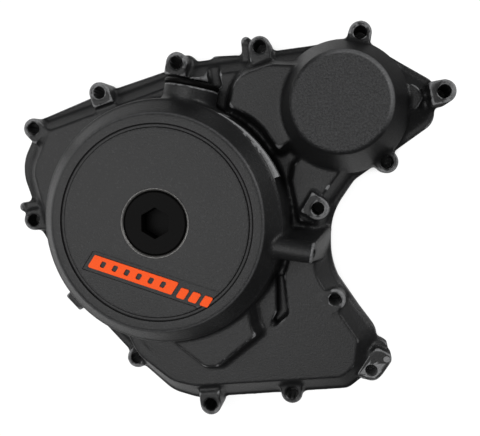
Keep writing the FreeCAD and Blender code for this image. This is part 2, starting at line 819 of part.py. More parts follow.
def sealing_ring(label, prefix, placement):
    """O-ring in the corner between the plug's shank and the underside of its head."""
    item = document.addObject("Part::Torus", label)
    room = "Sizes.ring_room / 2"
    expressions = {
        "Radius1": "Sizes.%s_plug_shank / 2 + Sizes.ring_section / 2 + %s" % (prefix, room),
        "Radius2": "Sizes.ring_section / 2",
    }
    bind(item, **expressions)
    drop = size("ring_section") / 2.0 + size("ring_room") / 2.0
    item.Placement = placement * Placement(Vector(0, 0, -drop), Rotation())
    return item


def slanted_bar(start, length, height, foot):
    """Upright-ended block in the recess's own directions, its ends leaning like the recess's end."""
    angle = size("recess_angle")
    lean = size("recess_slant") * height
    along, across = start
    corners = [(along, across), (along + length, across), (along + length - lean, across - height)]
    corners.append((along - lean, across - height))
    vertices = []
    for u, v in corners:
        point = polar(u, angle) + polar(v, angle + 90.0)
        vertices.append((point.x, point.y, size("inlay_round")))
    return prism(vertices, foot, foot + size("inlay_height"))


def orange_inlay():
    """Slotted strip and short bars, bonded to the floor of the name recess."""
    foot = size("rotor_top") - size("recess_depth")
    margin = size("inlay_margin")
    strip_length = size("inlay_strip_length")
    strip_width = size("inlay_strip_width")
    upper = size("recess_upper") - margin
    rear = size("recess_rear") + margin
    strip = slanted_bar((rear, upper), strip_length, strip_width, foot)
    slots = int(size("inlay_slots"))
    slot_width = size("inlay_slot_width")
    slot_height = size("inlay_slot_height")
    pitch = strip_length / (slots + 1.0)
    middle = upper - (strip_width - slot_height) / 2.0
    lean = size("recess_slant") * (strip_width - slot_height) / 2.0
    for index in range(slots):
        along = rear - lean + pitch * (index + 1) - slot_width / 2.0
        strip = strip.cut(slanted_bar((along, middle), slot_width, slot_height, foot))
    bar_width = size("inlay_bar_width")
    bar_height = size("inlay_bar_height")
    gap = size("inlay_gap")
    solids = [strip]
    for index in range(int(size("inlay_bars"))):
        along = rear + strip_length + gap + index * (bar_width + gap)
        solids.append(slanted_bar((along, upper - gap), bar_width, bar_height, foot))
    return feature("orange_inlay", Part.makeCompound(solids))


def export(items):
    """Write one file for each sub-part, once every object of the document has been checked."""
    document.recompute()
    for item in document.Objects:
        if "Invalid" in item.State or "Error" in item.State:
            raise RuntimeError("%s did not compute: %s" % (item.Label, item.State))
    for item in items:
        if item.Shape.isNull() or not item.Shape.isValid():
            raise RuntimeError(item.Label + " has no valid shape")
    os.makedirs("parts", exist_ok=True)
    for item in items:
        item.Shape.exportStep("parts/%s.step" % item.Label)
        print(item.Label, len(item.Shape.Solids), "solid(s)", round(item.Shape.Volume, 1), "mm3")


write_sheet()
crank_seat_height = size("rotor_top") - size("crank_plug_sunk") - size("crank_plug_head")
crank_place = Placement(Vector(0, 0, crank_seat_height), Rotation())
timing_place = timing_placement(size("timing_seat_radius"))
export(
    [
        cover_casting(),
        screw_plug("crank_plug", "crank", crank_place),
        sealing_ring("crank_plug_ring", "crank", crank_place),
        screw_plug("timing_plug", "timing", timing_place),
        sealing_ring("timing_plug_ring", "timing", timing_place),
        orange_inlay(),
    ]
)
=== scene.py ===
# %% [markdown]
# # A die-cast stator cover
# The cover is one thin-walled casting under dark graphite paint, with two black screw plugs and an
# orange inlay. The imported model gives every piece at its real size. This lesson keeps those
# places and gives each piece the surface that it has on the real cover. Lengths are written in
# millimetres and turned into Blender's metres in one place.

# %% Load the frame
import json
import math

import bmesh
import bpy
import numpy as np
import openvdb
from mathutils import Matrix, Vector


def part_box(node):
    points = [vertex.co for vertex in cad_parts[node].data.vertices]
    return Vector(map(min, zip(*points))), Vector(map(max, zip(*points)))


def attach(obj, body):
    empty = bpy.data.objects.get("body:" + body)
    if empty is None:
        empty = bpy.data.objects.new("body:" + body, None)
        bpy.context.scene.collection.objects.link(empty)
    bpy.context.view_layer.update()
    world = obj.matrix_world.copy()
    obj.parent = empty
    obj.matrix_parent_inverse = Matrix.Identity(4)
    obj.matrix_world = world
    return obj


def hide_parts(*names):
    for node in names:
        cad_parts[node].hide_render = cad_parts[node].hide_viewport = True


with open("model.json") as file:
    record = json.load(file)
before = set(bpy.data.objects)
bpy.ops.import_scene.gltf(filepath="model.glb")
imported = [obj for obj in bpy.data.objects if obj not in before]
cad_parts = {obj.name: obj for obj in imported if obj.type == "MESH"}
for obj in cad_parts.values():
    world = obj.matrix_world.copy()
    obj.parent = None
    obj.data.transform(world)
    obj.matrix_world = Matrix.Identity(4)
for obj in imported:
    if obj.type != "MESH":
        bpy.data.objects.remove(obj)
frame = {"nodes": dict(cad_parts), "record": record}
nodes = frame["nodes"]
mounts = {mount["name"]: mount for mount in frame["record"]["mounts"]}
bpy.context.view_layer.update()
MM = 0.001
print("pieces in the frame:", sorted(nodes))

# %% [markdown]
# ## Values as Python expressions
# A shader is a graph of nodes. Drawing it node by node is slow to write and hard to read, so a
# small class wraps one socket, and Python's own operators add the Math nodes. A second class holds
# one material and makes every other kind of node through a single method.


# %% A socket with operators
class Value:
    """One shader value. Adding to it or scaling it adds a Math node to its material."""

    def __init__(self, finish, socket):
        self.finish = finish
        self.socket = socket

    def math(self, operation, first, second):
        return self.finish.node("ShaderNodeMath", {"operation": operation}, (first, second))

    def __add__(self, other):
        return self.math("ADD", self, other)

    def __radd__(self, other):
        return self.math("ADD", other, self)

    def __sub__(self, other):
        return self.math("SUBTRACT", self, other)

    def __rsub__(self, other):
        return self.math("SUBTRACT", other, self)

    def __mul__(self, other):
        return self.math("MULTIPLY", self, other)

    def __rmul__(self, other):
        return self.math("MULTIPLY", other, self)

    def between(self, low, high):
        """0 below the low value, 1 above the high one, and a soft step in between."""
        settings = {"interpolation_type": "SMOOTHSTEP"}
        return self.finish.node("ShaderNodeMapRange", settings, {0: self, 1: low, 2: high})


class Finish:
    """One procedural material, named for the surface that it stands for."""

    def __init__(self, name):
        self.material = bpy.data.materials.new(name)
        self.material.use_nodes = True
        self.tree = self.material.node_tree
        self.shader = self.tree.nodes["Principled BSDF"]

    def node(self, kind, settings=None, inputs=(), output=0):
        """Add one node: its settings, then its sockets. Returns the output that is asked for."""
        made = self.tree.nodes.new(kind)
        for name, setting in (settings or {}).items():
            setattr(made, name, setting)
        feeds = inputs.items() if isinstance(inputs, dict) else enumerate(inputs)
        for key, feed in feeds:
            self.feed(made.inputs[key], feed)
        return Value(self, made.outputs[output])

    def feed(self, socket, feed):
        if isinstance(feed, Value):
            self.tree.links.new(feed.socket, socket)
        else:
            socket.default_value = feed

    def set(self, **feeds):
        """Feed the shader's own sockets; an underscore stands for a space in a socket's name."""
        for name, feed in feeds.items():
            self.feed(self.shader.inputs[name.replace("_", " ")], feed)

    def blend(self, factor, first, second):
        """Mix two colours by a value between 0 and 1."""
        settings = {"data_type": "RGBA", "clamp_factor": True}
        return self.node("ShaderNodeMix", settings, {0: factor, 6: first, 7: second}, output=2)

    def noise(self, where, size, detail=2.0):
        """Cloudy noise with spots of about this size in millimetres; its mean is 0.5."""
        sockets = {"Vector": where, "Scale": 1.0 / (size * MM), "Detail": detail}
        return self.node("ShaderNodeTexNoise", {}, sockets)

    def place(self):
        """Where a point lies on the object at rest, in metres."""
        return self.node("ShaderNodeTexCoord", output=3)

    def bump(self, height, depth, rounding=None):
        """Normal of a surface with this relief; the depth is in millimetres."""
        sockets = {"Strength": 1.0, "Distance": depth * MM, "Height": height}
        if rounding:
            sockets["Normal"] = self.node("ShaderNodeBevel", {"samples": 4}, (rounding * MM,))
        return self.node("ShaderNodeBump", {}, sockets)


print("shader helpers are ready")

# %% [markdown]
# ## The casting's skin
# A die casting has no sharp inner corner: the metal is poured, so every wall runs into the next
# with a fillet, and its outer edges are slightly round. Filleting the solid edge by edge would
# take hundreds of picks. A level set does it in three moves: grow the whole surface by the fillet
# radius, shrink it by the same amount, and every inner corner keeps the radius. Shrinking first
# and growing after rounds the outer edges in the same way. What is machined later, such as holes
# and the plug seats, is cut after that, so that it stays crisp.

# %% Read a CAD node as points and triangles
def triangles_of(piece):
    """The piece's points in millimetres, and its triangles."""
    mesh = piece.data
    mesh.calc_loop_triangles()
    points = np.zeros(len(mesh.vertices) * 3, np.float32)
    mesh.vertices.foreach_get("co", points)
    corners = np.zeros(len(mesh.loop_triangles) * 3, np.int32)
    mesh.loop_triangles.foreach_get("vertices", corners)
    return points.reshape(-1, 3) / MM, corners.reshape(-1, 3).astype(np.uint32)


cad_points, cad_triangles = triangles_of(nodes["cover_casting"])
print("the casting comes as", len(cad_triangles), "triangles")

# %% [markdown]
# ## Forms laid over the solid
# Growing has one more use. Closed shapes that overlap grow together, so a form that the solid
# lacks can simply be laid over it, and both melt into one skin. This cover gets its full flange
# edge, the soft skirt under the lower plateau, the ear beside the front bolt, three widenings of
# the flange and the tapered wall of the rotor bulge in this way. Each form is a closed set of
# triangles, drawn from an outline of corner points with a radius each.

# %% Outlines with rounded corners
ARC_STEPS = 8
EDGE_SHARE = 0.49
LEAST_RADIUS = 0.6


def moved(outline, distance):
    """A clockwise outline with each edge moved outwards, parallel to itself."""
    result = []
    for index, (x, y, radius) in enumerate(outline):
        here = Vector((x, y))
        back = (here - Vector(outline[index - 1][:2])).normalized()
        ahead = (Vector(outline[(index + 1) % len(outline)][:2]) - here).normalized()
        out_back, out_ahead = Vector((-back.y, back.x)), Vector((-ahead.y, ahead.x))
        place = here + (out_back + out_ahead) * (distance / (1.0 + out_back.dot(out_ahead)))
        growth = distance if back.x * ahead.y < back.y * ahead.x else -distance
        result.append((place.x, place.y, max(radius + growth, LEAST_RADIUS)))
    return result


def rounded(outline, height):
    """Points along the outline at one height, each corner an arc of equal steps."""
    points = []
    for index, (x, y, radius) in enumerate(outline):
        here = Vector((x, y))
        to_back = Vector(outline[index - 1][:2]) - here
        to_ahead = Vector(outline[(index + 1) % len(outline)][:2]) - here
        half = to_back.angle(to_ahead) / 2.0
        reach = min(radius / math.tan(half), EDGE_SHARE * min(to_back.length, to_ahead.length))
        to_back.normalize()
        to_ahead.normalize()
        middle = here + (to_back + to_ahead).normalized() * (reach / math.cos(half))
        start, end = here + to_back * reach - middle, here + to_ahead * reach - middle
        sweep = start.angle_signed(end)
        for step in range(ARC_STEPS + 1):
            spoke = start.copy()
            spoke.rotate(Matrix.Rotation(-sweep * step / ARC_STEPS, 2))
            points.append((middle.x + spoke.x, middle.y + spoke.y, height))
    return points


print("each corner takes", ARC_STEPS + 1, "points")

# %% Bars and plates from outlines
def strip(rails, closed):
    """Triangles of a bar with four rails of equal point counts, closed into a loop or capped."""
    count = len(rails[0])
    points = [point for rail in rails for point in rail]
    triangles = []
    for side in range(4):
        here, there = side * count, (side + 1) % 4 * count
        for index in range(count if closed else count - 1):
            after = (index + 1) % count
            triangles.append((here + index, here + after, there + after))
            triangles.append((here + index, there + after, there + index))
    if not closed:
        for end in (0, count - 1):
            corners = [end + side * count for side in range(4)]
            triangles += [corners[:3], [corners[0], corners[2], corners[3]]]
    return points, triangles


def plate(outline, height):
    """Triangles of a low prism that stands on the gasket plane."""
    low, high = rounded(outline, 0.0), rounded(outline, height)
    count = len(low)
    triangles = []
    for index in range(count):
        after = (index + 1) % count
        triangles.append((index, after, count + after))
        triangles.append((index, count + after, count + index))
    for index in range(1, count - 1):
        triangles += [(0, index, index + 1), (count, count + index, count + index + 1)]
    return low + high, triangles


forms = []
print("bars and plates are ready")

# %% The flange's edge
FLANGE_TOP = 7.5
LAND_WIDTH = 7.0
FLANGE = [
    (-94.9, 28.7, 25.0),
    (-81.0, 56.4, 6.0),
    (-42.0, 71.4, 40.0),
    (10.0, 87.2, 12.0),
    (100.8, 97.0, 8.0),
    (140.5, 73.8, 6.0),
    (141.4, 51.9, 9.0),
    (99.9, 21.5, 8.0),
    (87.4, 2.6, 49.0),
    (87.6, -27.8, 43.0),
    (113.4, -61.3, 12.0),
    (112.4, -82.0, 8.0),
    (98.2, -94.7, 8.0),
    (12.2, -105.1, 15.0),
    (-2.5, -101.6, 20.0),
    (-24.5, -83.5, 30.0),
    (-60.5, -47.0, 40.0),
    (-82.5, -6.5, 8.0),
]
inner_land = moved(FLANGE, -LAND_WIDTH)
rim = [rounded(FLANGE, 0.0), rounded(FLANGE, FLANGE_TOP)]
rim += [rounded(inner_land, FLANGE_TOP), rounded(inner_land, 0.0)]
forms.append(strip(rim, True))
print("the flange's band has", len(forms[-1][1]), "triangles")

# %% The skirt from the flange up to the lower plateau
LIP = 0.8
SKIRT_FOOT = 6.5
SKIRT_THICKNESS = 4.0
PLATEAU_TOP = 20.0
SKIRT_FIRST, SKIRT_LAST = 8, 16
SKIRT_TOP = [
    (78.0, -3.0, 6.0),
    (79.6, -29.0, 20.0),
    (102.4, -65.5, 12.0),
    (101.2, -78.0, 8.0),
    (94.5, -84.6, 9.0),
    (13.0, -93.8, 12.0),
    (0.0, -91.5, 15.0),
    (-20.0, -77.0, 20.0),
]
# These corners only close the outline, under the rotor bulge
SKIRT_ENDS = [(-29.9, -57.8, 2.0), (20.0, -20.0, 6.0), (60.0, -12.0, 4.0)]
outer_foot = moved(FLANGE, -LIP)[SKIRT_FIRST:SKIRT_LAST] + SKIRT_ENDS
outer_top = SKIRT_TOP + SKIRT_ENDS
skirt = [rounded(outer_foot, SKIRT_FOOT), rounded(outer_top, PLATEAU_TOP)]
skirt += [rounded(moved(outer_top, -SKIRT_THICKNESS), PLATEAU_TOP)]
skirt += [rounded(moved(outer_foot, -SKIRT_THICKNESS), SKIRT_FOOT)]
skirt_points = len(SKIRT_TOP) * (ARC_STEPS + 1) + 1
forms.append(strip([rail[:skirt_points] for rail in skirt], False))
print("the skirt has", len(forms[-1][1]), "triangles")

# %% The ear beside the front bolt, and the flange's widenings
EAR_TOP = 12.5
EAR = [
    (102.8, -84.0, 2.0),
    (106.0, -79.5, 3.0),
    (110.8, -71.8, 3.0),
    (113.5, -69.8, 2.0),
    (121.0, -73.4, 2.5),
    (121.2, -77.0, 2.5),
    (116.2, -85.0, 3.0),
    (110.4, -88.2, 4.0),
    (104.5, -87.4, 3.0),
]
BESIDE_TIMING_BOLT = [
    (4.0, 84.0, 1.0),
    (5.5, 91.2, 2.0),
    (9.2, 90.6, 2.0),
    (12.6, 87.2, 1.5),
    (12.5, 84.0, 1.0),
]
BEFORE_TIMING_PLUG = [
    (19.5, 85.0, 1.0),
    (21.5, 90.0, 1.5),
    (36.0, 90.4, 1.5),
    (37.5, 85.0, 1.0),
]
BEHIND_EAR = [
    (112.5, -66.5, 1.0),
    (115.5, -66.2, 1.5),
    (118.9, -68.2, 2.0),
    (119.6, -73.5, 1.5),
    (112.5, -74.0, 1.0),
]
forms.append(plate(EAR, EAR_TOP))
for outline in (BESIDE_TIMING_BOLT, BEFORE_TIMING_PLUG, BEHIND_EAR):
    forms.append(plate(outline, FLANGE_TOP))
print("the ear and three widenings make", len(forms), "forms in all")

# %% The tapered wall of the rotor bulge
WALL_STEPS = 240
WALL_RADIUS = 64.0
WALL_TOP = 40.6
WALL_PROFILE = [(66.4, 8.0), (WALL_RADIUS, WALL_TOP), (61.5, WALL_TOP), (62.5, 8.0)]
turns = np.linspace(0.0, math.tau, WALL_STEPS, endpoint=False)
wall = []
for radius, height in WALL_PROFILE:
    wall.append([(radius * math.cos(turn), radius * math.sin(turn), height) for turn in turns])
forms.append(strip(wall, True))
print("the wall has", len(forms[-1][1]), "triangles")

# %% Put the casting and its forms into one set of triangles
all_points, all_triangles = [cad_points], [cad_triangles]
first = len(cad_points)
for points, triangles in forms:
    all_points.append(np.array(points, np.float32))
    all_triangles.append(np.array(triangles, np.uint32) + np.uint32(first))
    first += len(points)
laid_points, laid_triangles = np.concatenate(all_points), np.concatenate(all_triangles)
print(len(forms), "forms laid over the casting,", len(laid_points), "points")

# %% Grow and shrink a closed surface
VOXEL = 0.6
WEB_RADIUS = 1.6
CREST_RADIUS = 0.4
LEVEL_BAND = 3.0


def moved_surface(points, faces, offset, kind="quads"):
    """The closed surface moved outwards by the offset, or inwards if it is negative."""
    spacing = openvdb.createLinearTransform(voxelSize=VOXEL)
    half_width = abs(offset) / VOXEL + LEVEL_BAND
    surface = {kind: faces}
    build = openvdb.FloatGrid.createLevelSetFromPolygons
    grid = build(points, transform=spacing, halfWidth=half_width, **surface)
    return grid.convertToQuads(offset)


skin_points, skin_quads = moved_surface(laid_points, laid_triangles, WEB_RADIUS, "triangles")
skin_points, skin_quads = moved_surface(skin_points, skin_quads, -WEB_RADIUS - CREST_RADIUS)
skin_points, skin_quads = moved_surface(skin_points, skin_quads, CREST_RADIUS)
skin_points = np.clip(skin_points, cad_points.min(axis=0), cad_points.max(axis=0))
print("filleted skin:", len(skin_quads), "quads")

# %% Turn the skin into a mesh and thin it out
TRIANGLE_LIMIT = 186000


def new_piece(name, points, faces):
    """A mesh object from points in millimetres."""
    mesh = bpy.data.meshes.new(name)
    mesh.from_pydata((np.asarray(points) * MM).tolist(), [], faces)
    piece = bpy.data.objects.new(name, mesh)
    bpy.context.scene.collection.objects.link(piece)
    return piece


def apply_modifiers(piece):
    """Replace the piece's mesh with the result of its modifiers."""
    graph = bpy.context.evaluated_depsgraph_get()
    made = bpy.data.meshes.new_from_object(piece.evaluated_get(graph))
    piece.modifiers.clear()
    piece.data = made


casting = new_piece("painted_casting", skin_points, skin_quads[:, ::-1].tolist())
thinner = casting.modifiers.new("thinner", "DECIMATE")
thinner.ratio = min(1.0, TRIANGLE_LIMIT / (2.0 * len(skin_quads)))
apply_modifiers(casting)
print("thinned skin:", len(casting.data.polygons), "triangles")

# %% [markdown]
# ## Machining the skin
# The fillets have softened everything, also what a cutter leaves sharp on the real cover. The bolt
# holes are drilled again from the record's own mounts, and the ear is faced flat. The ring groove
# and the name recess come from the flat floor that the CAD casting has there: pulled up through
# the disc it is a perfect cutter. The plug's seat is turned. A narrow ledge along the bulge's wall
# and a small round pip on the ear are added in the same way, as unions.

# %% Cutters from profiles
FINE_STEPS = 192
HOLE_STEPS = 48
WELD = 1e-4


def turned(profile, steps):
    """Closed ring or solid of revolution about Z from a closed loop of (radius, height) points."""
    tool = bmesh.new()
    loop = [tool.verts.new((radius, 0, height)) for radius, height in profile]
    edges = [tool.edges.new((a, b)) for a, b in zip(loop, loop[1:] + loop[:1])]
    turn = {"axis": (0, 0, 1), "cent": (0, 0, 0), "angle": math.tau, "steps": steps}
    bmesh.ops.spin(tool, geom=loop + edges, use_merge=True, **turn)
    bmesh.ops.remove_doubles(tool, verts=tool.verts, dist=WELD)
    bmesh.ops.recalc_face_normals(tool, faces=tool.faces)
    return tool


def pulled(points, triangles, height):
    """Closed prism from a flat patch of triangles, pulled up by the height."""
    tool = bmesh.new()
    verts = [tool.verts.new(point) for point in points]
    for corners in triangles:
        tool.faces.new([verts[index] for index in corners])
    bmesh.ops.remove_doubles(tool, verts=tool.verts, dist=WELD)
    raised = bmesh.ops.extrude_face_region(tool, geom=list(tool.faces), use_keep_orig=True)
    tops = [part for part in raised["geom"] if isinstance(part, bmesh.types.BMVert)]
    bmesh.ops.translate(tool, verts=tops, vec=(0, 0, height))
    bmesh.ops.recalc_face_normals(tool, faces=tool.faces)
    return tool


def cutter(name, tool, place=Matrix.Identity(4)):
    """Turn a tool into an object in metres; nothing of it is shown or exported."""
    tool.transform(Matrix.Scale(MM, 4) @ place)
    mesh = bpy.data.meshes.new(name)
    tool.to_mesh(mesh)
    tool.free()
    return bpy.data.objects.new(name, mesh)


def rod(radius, low, high):
    """Upright round bar between two heights."""
    return turned([(0, low), (radius, low), (radius, high), (0, high)], HOLE_STEPS)


print("cutters are ready")

# %% Bolt holes and the ear's flat face
HOLE_START = -1.0
HOLE_OVERRUN = 40.0
EAR_CLEARANCE = 6.0
tools = []
for name, mount in mounts.items():
    if name.startswith("bolt_"):
        x, y, z = (value / MM for value in mount["pos_m"])
        hole = rod(mount["dims"]["r_mm"], HOLE_START, z + HOLE_OVERRUN)
        tools.append(cutter(name, hole, Matrix.Translation((x, y, 0))))

ear_face = rounded(EAR, EAR_TOP)
fan = [(0, index, index + 1) for index in range(1, len(ear_face) - 1)]
tools.append(cutter("ear_face", pulled(ear_face, fan, EAR_CLEARANCE)))
print("holes and ear:", len(tools), "cutters")

# %% The seat of the crankshaft plug
SEAT_GAP = 0.15
SEAT_CHAMFER = 0.6
SEAT_CHAMFER_WIDTH = 1.1
SEAT_OVERRUN = 1.0
PLUG_HEAD = 4.0
disc_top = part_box("cover_casting")[1].z / MM
plug_low, plug_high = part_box("crank_plug")
plug_radius = (plug_high.x - plug_low.x) / MM / 2
seat_radius = plug_radius + SEAT_GAP
seat_rim = seat_radius + SEAT_CHAMFER_WIDTH
seat = plug_high.z / MM - PLUG_HEAD
seat_profile = [
    (0, seat),
    (seat_radius, seat),
    (seat_radius, disc_top - SEAT_CHAMFER),
    (seat_rim, disc_top),
    (seat_rim, disc_top + SEAT_OVERRUN),
    (0, disc_top + SEAT_OVERRUN),
]
tools.append(cutter("crank_seat", turned(seat_profile, FINE_STEPS)))
print("the seat's chamfer ends at radius", round(seat_rim, 2))

# %% Ring groove and name recess
RECESS_CUT = 2.0
SAME_HEIGHT = 0.01
recess_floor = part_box("orange_inlay")[0].z / MM
heights = cad_points[:, 2][cad_triangles]
flat = np.abs(heights - recess_floor).max(axis=1) < SAME_HEIGHT
groove_radius = np.linalg.norm(cad_points[cad_triangles[flat].ravel(), :2], axis=1).max()
tools.append(cutter("recess", pulled(cad_points, cad_triangles[flat].tolist(), RECESS_CUT)))
print("the recess floor has", int(flat.sum()), "triangles and radius", round(groove_radius, 2))

# %% The ledge along the bulge's wall
LEDGE_ANGLES = (21.0, 61.0)
LEDGE_SHARES = (0.0, 0.5, 1.0)
LEDGE_WIDTHS = (2.6, 1.1, 0.0)
LEDGE_TOP = 40.55
LEDGE_DEPTH = 6.0
LEDGE_SUNK = 2.0
LEDGE_STEPS = 40
shares = np.linspace(0.0, 1.0, LEDGE_STEPS)
turns = np.radians(LEDGE_ANGLES[0] + shares * (LEDGE_ANGLES[1] - LEDGE_ANGLES[0]))
outer = WALL_RADIUS + np.interp(shares, LEDGE_SHARES, LEDGE_WIDTHS)
inner = np.full(LEDGE_STEPS, WALL_RADIUS - LEDGE_SUNK)
ledge_foot = LEDGE_TOP - LEDGE_DEPTH
ledge_points = []
for radii in (outer, inner):
    for radius, turn in zip(radii, turns):
        ledge_points.append((radius * math.cos(turn), radius * math.sin(turn), ledge_foot))
ledge_faces = []
for index in range(LEDGE_STEPS - 1):
    far = index + LEDGE_STEPS
    ledge_faces.append((index, index + 1, far + 1, far))
ledge = cutter("ledge", pulled(ledge_points, ledge_faces, LEDGE_DEPTH))
print("the ledge has", len(ledge.data.polygons), "faces")

# %% The pip on the ear
PIP_PLACE = (118.4, -75.6, 0.0)
PIP_RADIUS = 1.7
PIP_HEIGHT = 0.9
PIP_SUNK = 1.0
pip_rod = rod(PIP_RADIUS, EAR_TOP - PIP_SUNK, EAR_TOP + PIP_HEIGHT)
pip = cutter("pip", pip_rod, Matrix.Translation(PIP_PLACE))
print("the pip has", len(pip.data.polygons), "faces")

# %% Add the ledge, make all the cuts, add the pip
def machine(piece, tools, operation):
    """Join the tools to the piece, or cut them out of it, and remove them."""
    for tool in tools:
        bpy.context.scene.collection.objects.link(tool)
        step = piece.modifiers.new(tool.name, "BOOLEAN")
        step.operation = operation
        step.solver = "MANIFOLD"
        step.object = tool
    apply_modifiers(piece)
    for tool in tools:
        bpy.data.objects.remove(tool)


machine(casting, [ledge], "UNION")
machine(casting, tools, "DIFFERENCE")
machine(casting, [pip], "UNION")
print("machined skin:", len(casting.data.polygons), "faces")

# %% Smooth shading with crisp machined edges, and flat faces kept flat
CRISP_ANGLE = math.radians(38)
casting.data.shade_smooth()
casting.data.set_sharp_from_angle(angle=CRISP_ANGLE)
weights = casting.modifiers.new("weights", "WEIGHTED_NORMAL")
weights.keep_sharp = True
apply_modifiers(casting)
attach(casting, "root")
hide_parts("cover_casting")
print("custom normals kept:", casting.data.has_custom_normals)

# %% [markdown]
# ## Graphite paint
# The cover is sprayed with a dark satin paint over a lightly blasted casting. From a step away it
# is one grey; up close it has a fine grain, and a few brighter flakes. The grain is a bump, because
# it must catch the light from any side. The grey itself only drifts a little.

# %% Grain and flakes
paint = Finish("graphite_paint")
where = paint.place()
drift = paint.noise(where, 22.0)
grain = paint.noise(where, 0.9, 3.0)
flakes = paint.noise(where, 1.1, 1.0).between(0.58, 0.75)
sand = paint.noise(where, 1.0, 2.0).between(0.3, 0.7)
print("the paint starts with", len(paint.tree.nodes), "nodes")

# %% [markdown]
# ## Where the paint differs
# Some places on the cover look different, and all of them can be told from where they lie. A place
# has a distance along each axis and a distance from the bulge's middle line, and a band is what
# lies between two such marks. This is simpler than painting a picture for the casting, and it
# stays sharp at any size.

# %% Marks in millimetres
def measured(operation, *feeds):
    """A number that Vector Math works out from vectors, in metres."""
    return paint.node("ShaderNodeVectorMath", {"operation": operation}, feeds, output=1)


def beyond(value, mark, soft):
    """1 from the mark on and 0 before it, with a soft step of this width ahead of the mark."""
    return value.between((mark - soft) * MM, mark * MM)


def band(value, low, high, soft):
    """1 between two marks, fading to 0 outside them."""
    return beyond(value, low, soft) * (1.0 - beyond(value, high + soft, soft))


east = measured("DOT_PRODUCT", where, (1, 0, 0))
north = measured("DOT_PRODUCT", where, (0, 1, 0))
height = measured("DOT_PRODUCT", where, (0, 0, 1))
flat_place = paint.node("ShaderNodeVectorMath", {"operation": "MULTIPLY"}, (where, (1, 1, 0)))
radial = measured("LENGTH", flat_place)
print("marks need", len(paint.tree.nodes), "nodes so far")

# %% Painted shade along the ring groove's two walls, and a painted highlight on the disc's rim
GROOVE_WIDTH = 2.4
DISC_RIM = 55.7
groove_inner = groove_radius - GROOVE_WIDTH
# Painted shade: two dark lines where the groove's walls lie in shade
outer_line = band(radial, groove_radius - 0.6, groove_radius, 0.4)
inner_line = band(radial, groove_inner - 0.1, groove_inner + 0.4, 0.3)
groove_shade = band(height, 49.0, 51.1, 0.2) * (outer_line + inner_line)
# Painted highlight: a light band along the disc's rim
disc_rim_highlight = band(radial, DISC_RIM, DISC_RIM, 0.9) * beyond(height, 50.0, 1.0)
print("the groove runs from", round(groove_inner, 2), "to", round(groove_radius, 2))

# %% The plug seat's bare chamfer, and a painted highlight on the ledge
LEDGE_EAST, LEDGE_NORTH = 31.0, 21.5
bare = band(radial, seat_radius, seat_rim, 0.1) * beyond(height, 50.2, 0.2)
# Painted highlight: the ledge's top is made lighter over part of its length
ledge_highlight = band(height, 40.3, 40.8, 0.2) * band(radial, 63.8, 69.0, 0.4)
ledge_highlight = ledge_highlight * beyond(east, LEDGE_EAST, 2.0) * beyond(north, LEDGE_NORTH, 1.0)
print("bare metal from", round(seat_radius, 2), "to", round(seat_rim, 2))

# %% The gear bulge's sandy top, and a painted highlight on its edge
GEAR_MIDDLE = (0.0928, 0.0604, 0.043)
GEAR_TOP = 25.5
UPPER_RIGHT = (0.7071, 0.7071, 0)
GEAR_HIGHLIGHT_MARK = 128.0
to_gear = measured("DISTANCE", where, GEAR_MIDDLE)
sandy = 1.0 - beyond(to_gear, GEAR_TOP, 2.0)
# Painted highlight: the gear top's edge is made lighter on its upper right side only
gear_edge_highlight = band(to_gear, 24.2, 25.4, 1.0)
gear_edge_highlight = gear_edge_highlight * beyond(measured("DOT_PRODUCT", where, UPPER_RIGHT), GEAR_HIGHLIGHT_MARK, 18.0)
print("the sandy top has radius", GEAR_TOP)

# %% [markdown]
# ## Edges and corners
# Outer edges get a painted highlight and corners get painted shade, so the edges look lighter and
# the corners darker. Cycles finds both without a picture: Pointiness says how convex the surface is
# at a point, and Ambient Occlusion how much of the sky it sees. The disc is left out of the first
# one, because its cut edges have long triangles, which make Pointiness unsure.

# %% Painted highlights on edges and painted shade in corners
CORNER_REACH = 1.6
convex = paint.node("ShaderNodeNewGeometry", output=7)
# Painted highlight on convex places, left off the disc
edge_highlight = convex.between(0.519, 0.536) * (1.0 - beyond(height, 50.7, 0.4))
sight = {"Distance": CORNER_REACH * MM}
# Painted shade: the colour darkens where Ambient Occlusion finds the surface hemmed in
gap = paint.node("ShaderNodeAmbientOcclusion", {"samples": 8}, sight, output=1)
corner_shade = 1.0 - gap.between(0.35, 0.8)
print("corners are felt from", CORNER_REACH, "mm")

# %% Mix the grey and paint the casting
PAINT_DARK = (0.0065, 0.0066, 0.0069, 1)
PAINT_LIGHT = (0.020, 0.0202, 0.0208, 1)
SAND_LIGHT = (0.055, 0.0553, 0.057, 1)
# Grey of the painted highlights on the edges, the gear rim, the ledge and the disc's rim
HIGHLIGHT_GREY = (0.20, 0.201, 0.205, 1)
# Grey of the painted shade in corners and along the ring groove
SHADE_GREY = (0.002, 0.002, 0.0021, 1)
BARE_METAL = (0.15, 0.147, 0.143, 1)
grey = paint.blend(drift * 0.3 + flakes * 0.7, PAINT_DARK, PAINT_LIGHT)
grey = paint.blend(sandy * (0.12 + sand * 0.4), grey, SAND_LIGHT)
